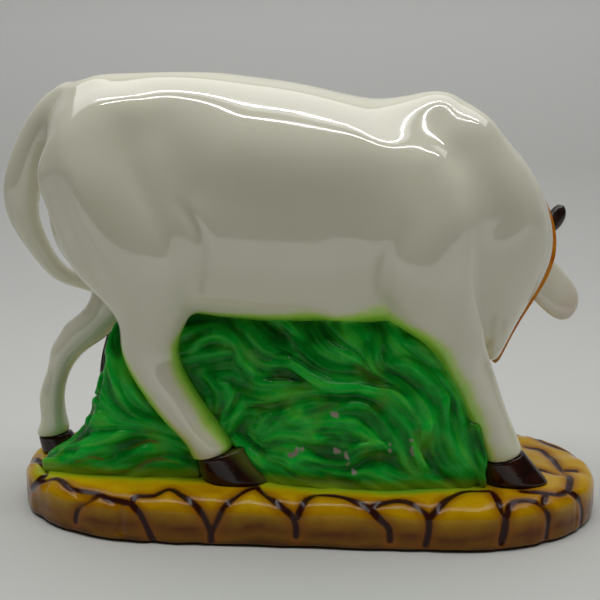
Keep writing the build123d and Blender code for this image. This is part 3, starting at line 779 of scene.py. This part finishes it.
def sculpt_flank(grid, values, tree):
    """Works the strokes into the skin's field, and gives the paths of the creases."""
    for pixels, width, depth in broad_strokes:
        press(grid, values, traced(tree, pixels, stroke_steps), width, depth)
    for pixel, radius, spread in melt_spots:
        melt(grid, values, on_surface(tree, [pixel])[0], radius, spread)
    creases = []
    for pixels, width, depth in flank_strokes:
        path = traced(tree, pixels, stroke_steps)
        press(grid, values, path, width, depth)
        if depth > 0 and width < fine_width:
            creases.append(path)
    return creases


def sculpt_face(grid, values):
    """Works a plain face into the skin's field, and gives the places of eyes and nostrils."""
    eyes, nostrils = [], []
    for side in (-1, 1):
        eye = head_point(eye_along, side * eye_side, eye_up)
        ahead = head_point(eye_along + eye_run, side * eye_side, eye_up - eye_drop)
        press(grid, values, [eye, ahead], *eye_stroke)
        eyes.append((eye + ahead) / 2)
        nostril = head_point(nostril_along, side * nostril_side, nostril_up)
        press(grid, values, [nostril, nostril + (0, 0, 1)], *nostril_stroke)
        nostrils.append(nostril)
        corner = head_point(mouth_along, side * mouth_side, mouth_up)
        front = head_point(nostril_along + lip_run, side * nostril_side / 2, mouth_up - lip_drop)
        press(grid, values, [corner, front], *mouth_stroke)
    return eyes, nostrils


def make_skin():
    """The cow's white skin: one lacquered surface over ten castings."""
    names = [*skin_core, "tail", *skin_ears]
    low, high = node_corners(*names)
    grid = Grid(low - skin_margin, high + skin_margin, skin_cell, skin_reach)
    values = skin_form(grid)
    creases = sculpt_flank(grid, values, node_tree(*names))
    eyes, nostrils = sculpt_face(grid, values)
    values = softened(values, fold_softening)
    points, quads, normals = grid.surface(values, shade_softening)
    grass = grid.sample(grid.field("grass_bank"), points)
    # painted shade along the creases of the flank
    crease_shade = np.exp(-((gap_to_paths(points, creases, crease_reach) / crease_width) ** 2))
    dark, blush = np.zeros(len(points)), np.zeros(len(points))
    for eye in eyes:
        dark = np.maximum(dark, faded(np.linalg.norm(points - eye, axis=1), *eye_fade))
    for nostril in nostrils:
        gap = np.linalg.norm(points - nostril, axis=1)
        dark = np.maximum(dark, nostril_share * faded(gap, *nostril_fade))
        blush = np.maximum(blush, muzzle_share * faded(gap, *muzzle_fade))
    for name in skin_ears:
        low, high = node_corners(name)
        outer = high[0] if name == "ear_right" else low[0]
        tip = np.array((outer, (low[1] + high[1]) / 2, low[2]))
        gap = np.linalg.norm(points - tip, axis=1)
        blush = np.maximum(blush, ear_share * faded(gap, *ear_fade))
    legs = leg_spray_share * faded(points[:, 2], *leg_spray_fade)
    halo = np.maximum(faded(grass, *skin_spray_fade), legs)
    paint = {"halo": halo, "crease_shade": crease_shade_share * crease_shade, "blush": blush, "dark": dark}
    skin = add_mesh("white_skin", points, quads, normals, **paint)
    dress(skin, white_gloss(), "white_gloss", *names)
    return grid, values


def lattice_noise(points, cell, chance):
    """Smooth random values around points, from a lattice of cells of that size."""
    start = np.floor(points.min(axis=0) / cell).astype(int) - lattice_margin
    shape = np.ceil(points.max(axis=0) / cell).astype(int) + lattice_margin + 1 - start
    lattice = chance.normal(size=shape).astype(np.float32)

    def read(places):
        place = places / cell - start
        base = np.clip(np.floor(place).astype(int), 0, shape - 2)
        return between_cells(lattice, base, eased(np.clip(place - base, 0, 1)))

    return read


class Comb:
    """The directions in which the grass is combed, from the paths of its main strands."""

    def __init__(self, low, high, paths):
        self.start = np.floor(low / comb_cell).astype(int) - comb_margin
        self.shape = np.ceil(high / comb_cell).astype(int) + comb_margin + 1 - self.start
        places = np.concatenate([(path[:-1] + path[1:]) / 2 for path in paths]).astype(np.float32)
        ways = np.concatenate([np.diff(path, axis=0) for path in paths]).astype(np.float32)
        ways /= np.linalg.norm(ways, axis=1, keepdims=True) + 1e-6
        pairs = (ways[:, :, None] * ways[:, None, :]).reshape(-1, 9)
        lines = [(self.start[axis] + np.arange(self.shape[axis])) * comb_cell for axis in range(3)]
        cells = np.stack(np.meshgrid(*lines, indexing="ij"), axis=-1)
        cells = cells.reshape(-1, 3).astype(np.float32)
        squares = np.sum(places ** 2, axis=1)
        tensors = np.empty((len(cells), 9), np.float32)
        for first in range(0, len(cells), comb_block):
            part = cells[first:first + comb_block]
            away = np.sum(part ** 2, axis=1)[:, None] + squares - 2 * part @ places.T
            weight = 1 / (1 + (np.maximum(away, 0) / comb_reach ** 2) ** 2)
            tensors[first:first + comb_block] = weight @ pairs
        main = np.linalg.eigh(tensors.reshape(-1, 3, 3))[1][:, :, 2]
        self.ways = main.reshape(*self.shape, 3)

    def way(self, points):
        """The comb's direction at points."""
        index = np.round(points / comb_cell).astype(int) - self.start
        index = np.clip(index, 0, self.shape - 1)
        return self.ways[index[:, 0], index[:, 1], index[:, 2]]

    def drawn(self, points, noise):
        """Random values drawn out along the comb's directions, to a spread of one."""
        total = noise(points)
        for side in (-1, 1):
            places = points.copy()
            last = side * self.way(points)
            for step in range(1, comb_steps + 1):
                way = self.way(places)
                way = way * np.where(np.sum(way * last, axis=1) < 0, -1, 1)[:, None]
                places = places + comb_step * way
                total = total + noise(places) * (1 - step / (comb_steps + 1))
                last = way
        return (total - total.mean()) / total.std()


def spur_path(tree, foot, pixels):
    """A path of grass through pixels, upright, just behind the turf seen at a foot pixel."""
    depth = on_surface(tree, [foot])[0][1] + spur_behind
    start = camera_place * mm_per_metre
    rays = [pixel_ray(*pixel) for pixel in pixels]
    return np.array([tuple(start + ray * ((depth - start.y) / ray.y)) for ray in rays], np.float32)


def grass_form(grid, tree, low):
    """The field of the grass, with a root below the deck and its spurs."""
    values = grid.field("grass_bank")
    heights = grid.axes(grid.whole)[2]
    layer = int(np.searchsorted(heights.ravel(), low[2] + root_layer))
    root = low[2] - grass_root - heights[:, :, :layer]
    values[:, :, :layer] = np.maximum(values[:, :, layer:layer + 1], root)
    for foot, pixels, radius in grass_spurs:
        spur = spur_path(tree, foot, pixels)
        window = grid.around(spur, spur_window)
        gap, along = path_gap(grid.axes(window), spur)
        blade = gap - radius * (1 - spur_taper * along)
        values[window] = smooth_union(values[window], blade, spur_fillet)
    return values


def strand_paths(tree, high):
    """The paths of the main strands on the side seen, and on the far side behind them."""
    paths = []
    for pixels in grass_guides:
        path = traced(tree, pixels, guide_steps)
        if len(path) < guide_points:
            continue
        paths.append(path)
        behind = []
        for place in path:
            start = Vector((place[0], high[1] + far_side, place[2]))
            hit = tree.ray_cast(start, Vector((0, -1, 0)))[0]
            if hit is not None:
                behind.append(tuple(hit))
        if len(behind) >= guide_points:
            paths.append(np.array(behind))
    return paths


def make_grass(skin_grid, skin_values):
    """The bank of curled grass, combed on the side seen and on the far side alike."""
    low, high = node_corners("grass_bank")
    grid = Grid(low - grass_margin_low, high + grass_margin_high, grass_cell, grass_reach)
    tree = node_tree("grass_bank")
    values = grass_form(grid, tree, low)
    near = np.nonzero((values > -lap_inside) & (values < grass_overlap + lap_past))
    cells = (np.stack(near, axis=1) + grid.start) * grid.cell
    skin = skin_grid.sample(skin_values, cells)
    lap = np.maximum(skin + lap_clear, values[near] - grass_overlap)
    values[near] = np.minimum(values[near], lap)
    points, quads, normals = grid.surface(softened(values, grass_softening))
    skin = skin_grid.sample(skin_values, points)
    chance = np.random.default_rng(grass_seed)
    paths = strand_paths(tree, high)
    comb = Comb(low, high, paths)
    strand = np.tanh(comb.drawn(points, lattice_noise(points, strand_cell, chance)))
    fibre = np.tanh(comb.drawn(points, lattice_noise(points, fibre_cell, chance)))
    ridge = np.exp(-((gap_to_paths(points, paths, ridge_reach) / ridge_width) ** 2))
    foot = faded(points[:, 2] - low[2], *foot_fade)
    lift = strand_relief * (strand - strand_level) + fibre_relief * fibre + ridge_relief * ridge
    points = points + normals * (lift * (1 - foot_calm * foot))[:, None]
    rust = [traced(tree, pixels, paint_steps) for pixels in rust_lines]
    chips = [traced(tree, pixels, chip_steps) for pixels in grass_chips]
    fray = chip_fray * lattice_noise(points, chip_cell, chance)(points)
    light = light_level + light_strand * strand + light_fibre * fibre + light_ridge * ridge
    olive = olive_share * faded(skin, *olive_skin_fade) + olive_share * foot
    olive = olive + olive_fibre * np.maximum(fibre - olive_level, 0)
    grass = add_mesh(
        "grass_strands", points, quads,
        # painted light and shade: lighter on strands and ridges, darker in the hollows
        ridge=np.clip(light, 0, 1),
        tone=np.clip(olive, 0, 1),
        foot=foot_share * foot,
        rust=rust_share * faded(gap_to_paths(points, rust, rust_reach), *rust_fade),
        chip=faded(gap_to_paths(points, chips, chip_reach) + fray, *chip_fade),
    )
    dress(grass, grass_gloss(), "grass_green", "grass_bank")


def make_plinth():
    """The flagstone plinth: rounded stones parted by dark joints, right round the rim."""
    low, high = node_corners("base_plinth")
    grid = Grid(low - plinth_margin, high + plinth_margin, plinth_cell, plinth_reach)
    values = grid.closed(grid.field("base_plinth"), plinth_closing)
    points, quads, normals = grid.surface(values)
    tree = BVHTree.FromPolygons(points.tolist(), quads.tolist())
    paths = []
    for pixels in joint_lines:
        path = traced(tree, pixels, joint_steps)
        paths += [path, path * (-1, -1, 1)]
    groove = np.zeros_like(values)
    for path in paths:
        window = grid.around(path, joint_reach)
        gap = path_gap(grid.axes(window), path.astype(np.float32))[0]
        cut = joint_depth * np.exp(-((gap / joint_width) ** 2))
        cut = cut + slope_depth * np.exp(-((gap / slope_width) ** 2))
        groove[window] = np.maximum(groove[window], cut)
    points, quads, normals = grid.surface(softened(values + groove, 1))
    uneven = lattice_noise(points, stone_cell, np.random.default_rng(stone_seed))(points)
    points = points + normals * (stone_relief * uneven - stone_sink)[:, None]
    points = np.clip(points, low, high)
    gap = gap_to_paths(points, paths, joint_reach)
    span_low, span_high = node_corners("grass_bank")
    span_low, span_high = span_low - turf_reach, span_high + turf_reach
    turf = Grid(span_low, span_high, turf_cell, turf_reach)
    inside = np.all((points > span_low + turf_margin) & (points < span_high - turf_margin), axis=1)
    grass = np.full(len(points), turf_reach)
    grass[inside] = turf.sample(turf.field("grass_bank"), points[inside])
    smear = traced(tree, deck_green, paint_steps)
    green = gap_to_paths(points, [smear], green_reach)
    plinth = add_mesh(
        "flagstone_plinth", points, quads,
        joint=faded(gap, *joint_fade),
        edge=edge_share * faded(gap, *edge_fade),
        halo=faded(grass, *turf_fade),
        green=green_share * faded(green, *green_fade),
        # painted shadow along the very foot
        foot=faded(points[:, 2] - low[2], *foot_shadow_fade),
    )
    dress(plinth, stone_gloss(), "flagstone_ochre", "base_plinth")


def make_hooves():
    """The hooves: rounded, cloven, and dusted with green in the grass."""
    paint = brushed_gloss("hoof_brown", (20, 7, 6), (56, 20, 12), 0.14, halo=True)
    for name in sorted(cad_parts):
        if not name.startswith("hoof"):
            continue
        low, high = node_corners(name)
        grid = Grid(low - small_margin, high + small_margin, small_cell, hoof_reach)
        points, quads, normals = grid.surface(softened(grid.field(name), hoof_softening))
        wide = Grid(low - small_margin, high + small_margin, dust_cell, dust_reach)
        dust = dust_share * faded(wide.sample(wide.field("grass_bank"), points), *dust_fade)
        if name.endswith("right"):
            ahead = np.clip((points[:, 0] - low[0]) / (high[0] - low[0]), 0, 1)
            below = np.clip((high[2] - points[:, 2]) / (high[2] - low[2]), 0, 1)
            points[:, 0] += toe_reach * ahead * below
        hoof = add_mesh(name + "_painted", points, quads, normals, halo=dust)
        dress(hoof, paint, "hoof_brown", name)


def make_tuft():
    """The tail's tuft of combed hair."""
    low, high = node_corners("tail_tuft")
    grid = Grid(low - small_margin, high + small_margin, small_cell, tuft_reach)
    points, quads, normals = grid.surface(softened(grid.field("tail_tuft"), tuft_softening))
    middle = (low + high) / 2
    turn = np.arctan2(points[:, 1] - middle[1], points[:, 0] - middle[0])
    fall = (high[2] - points[:, 2]) / (high[2] - low[2])
    points[:, 0] += tuft_lean * (1 - fall) ** 2
    hair = 0
    for turns, twist, rise in hair_waves:
        hair = hair + rise * (np.cos(turns * turn + twist * fall) - 1)
    points = points + normals * (hair_relief * hair * np.clip(hair_start * fall, 0, 1))[:, None]
    tuft = add_mesh("tail_tuft_combed", points, quads)
    paint = brushed_gloss("tuft_black", (14, 11, 9), (44, 34, 28), 0.28)
    dress(tuft, paint, "tuft_black", "tail_tuft")


def dress_nodes():
    """Paint on the CAD nodes that keep their own shape."""
    horn = brushed_gloss("horn_brown", (20, 12, 11), (52, 34, 30), 0.2)
    band = brushed_gloss("band_orange", (206, 112, 14), (236, 158, 44), 0.22)
    for name, paint in (("horn_right", horn), ("horn_left", horn), ("neck_band", band)):
        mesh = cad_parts[name].data
        mesh.materials.clear()
        mesh.materials.append(paint)


# Studio

def add_floor():
    """A pale floor that sweeps up into a grey backdrop, its grey painted darker and lighter with
    height as painted shading.
    """
    turns = np.radians(np.linspace(0, 90, sweep_steps + 1))
    depths = [sweep_front, *(sweep_back - sweep_radius * (1 - np.sin(turns))), sweep_back]
    rises = [0, *(sweep_radius * (1 - np.cos(turns))), sweep_height]
    vertices, faces = [], []
    for depth, rise in zip(depths, rises):
        vertices += [(-sweep_width, depth, rise), (sweep_width, depth, rise)]
    for first in range(0, len(vertices) - 2, 2):
        faces.append((first, first + 1, first + 3, first + 2))
    floor = add_mesh("studio_sweep", np.array(vertices) * mm_per_metre, np.array(faces))
    shader = Shader("studio_grey", roughness=0.8)
    # painted shading: the backdrop's grey darkest at mid height, lighter below and above
    grey = shader.ramp(shader.span(shader.axis("Z"), 0.0, tone_height), [
        (0.0, (200, 201, 198)), (0.06, (194, 195, 193)), (0.3, (182, 183, 181)),
        (0.62, (206, 207, 206)), (1.0, (210, 211, 210)),
    ])
    share = shader.span(shader.axis("Y"), white_floor_end, grey_floor_start)
    shader.fill(shader.surface, {"Base Color": shader.mix(share, (250, 250, 246), grey)})
    floor.data.materials.append(shader.material)


def add_lights():
    """Soft light from above, with two thin strips that draw lines along the back."""
    world = bpy.data.worlds.new("studio_air")
    world.use_nodes = True
    air = world.node_tree.nodes["Background"]
    air.inputs["Color"].default_value = air_colour
    air.inputs["Strength"].default_value = air_strength
    bpy.context.scene.world = world
    for name, (place, aim, size, power) in panels.items():
        data = bpy.data.lights.new(name, "AREA")
        data.shape = "RECTANGLE"
        data.size, data.size_y = size
        data.energy = power
        light = bpy.data.objects.new(name, data)
        light.location = place
        light.rotation_euler = (Vector(aim) - Vector(place)).to_track_quat("-Z", "Y").to_euler()
        bpy.context.collection.objects.link(light)


add_camera()
add_floor()
add_lights()
make_plinth()
make_grass(*make_skin())
make_hooves()
make_tuft()
dress_nodes()

bpy.context.scene.view_settings.view_transform = "Standard"
bpy.context.view_layer.update()
